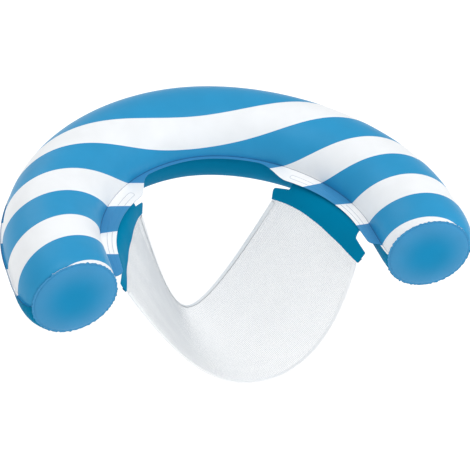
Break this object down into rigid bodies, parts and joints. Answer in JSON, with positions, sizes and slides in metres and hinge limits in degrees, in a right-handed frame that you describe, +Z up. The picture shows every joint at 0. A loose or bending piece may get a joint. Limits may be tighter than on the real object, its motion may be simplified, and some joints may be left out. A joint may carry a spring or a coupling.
{
  "type": "inflatable pool chair",
  "caption": "U-shaped inflatable float with a mesh seat hung between its arms from two welded bands, with air valves under the back.",
  "frame": {"origin": "on the plane of the tube's weld seams, in the middle of the half oval that the inner seam makes round the sitter", "axes": "+Z up, +Y towards the backrest, +X towards the left-hand arm rest of the sitter, who faces -Y"},
  "size_m": [0.9156, 0.6506, 0.4688],
  "materials": {
    "printed_pvc": "soft vinyl film with printed blue and white bands, satin gloss",
    "teal_pvc": "soft plain teal vinyl film, satin gloss",
    "end_pvc": "soft plain blue vinyl film, satin gloss, crinkled at its weld rim",
    "band_pvc": "soft teal vinyl film",
    "wall_pvc": "clear to milky vinyl film, unseen",
    "seat_mesh": "white knitted polyester mesh",
    "hem_binding": "white woven polyester binding",
    "valve_pvc": "milky soft moulded vinyl",
    "plug_pvc": "milky soft moulded vinyl",
    "flap_pvc": "milky soft vinyl sheet"
  },
  "bodies": {
    "seat": {"top_panel": "printed_pvc", "bottom_panel": "teal_pvc", "end_disc_left": "end_pvc", "end_disc_right": "end_pvc", "chamber_bulkhead": "wall_pvc", "seat_band_left": "band_pvc", "seat_band_right": "band_pvc", "net_strip_left": "band_pvc", "net_strip_right": "band_pvc", "seat_net": "seat_mesh", "net_hem_front": "hem_binding", "net_hem_back": "hem_binding", "valve_base_left": "valve_pvc", "valve_base_right": "valve_pvc"},
    "valve_stem_left": {"valve_stem_left": "valve_pvc", "plug_tether_left": "plug_pvc"},
    "valve_plug_left": {"valve_plug_left": "plug_pvc"},
    "valve_flap_left": {"valve_flap_left": "flap_pvc"},
    "valve_stem_right": {"valve_stem_right": "valve_pvc", "plug_tether_right": "plug_pvc"},
    "valve_plug_right": {"valve_plug_right": "plug_pvc"},
    "valve_flap_right": {"valve_flap_right": "flap_pvc"}
  },
  "joints": [
    {"name": "valve_stem_left_pull", "type": "slide", "parent": "seat", "child": "valve_stem_left", "axis": [-0.5516, 0.5628, -0.6157], "range_m": [0, 0.014]},
    {"name": "valve_plug_left_pull", "type": "slide", "parent": "valve_stem_left", "child": "valve_plug_left", "axis": [-0.5516, 0.5628, -0.6157], "range_m": [0, 0.012], "deforming": ["plug_tether_left"]},
    {"name": "valve_flap_left_swing", "type": "hinge", "parent": "valve_stem_left", "child": "valve_flap_left", "pos_m": [-0.29162, 0.30537, -0.04036], "axis": [-0.7142, -0.7, 0], "range_deg": [0, 60]},
    {"name": "valve_stem_right_pull", "type": "slide", "parent": "seat", "child": "valve_stem_right", "axis": [0.5516, 0.5628, -0.6157], "range_m": [0, 0.014]},
    {"name": "valve_plug_right_pull", "type": "slide", "parent": "valve_stem_right", "child": "valve_plug_right", "axis": [0.5516, 0.5628, -0.6157], "range_m": [0, 0.012], "deforming": ["plug_tether_right"]},
    {"name": "valve_flap_right_swing", "type": "hinge", "parent": "valve_stem_right", "child": "valve_flap_right", "pos_m": [0.29162, 0.30536, -0.04036], "axis": [-0.7142, 0.7, 0], "range_deg": [0, 60]}
  ]
}
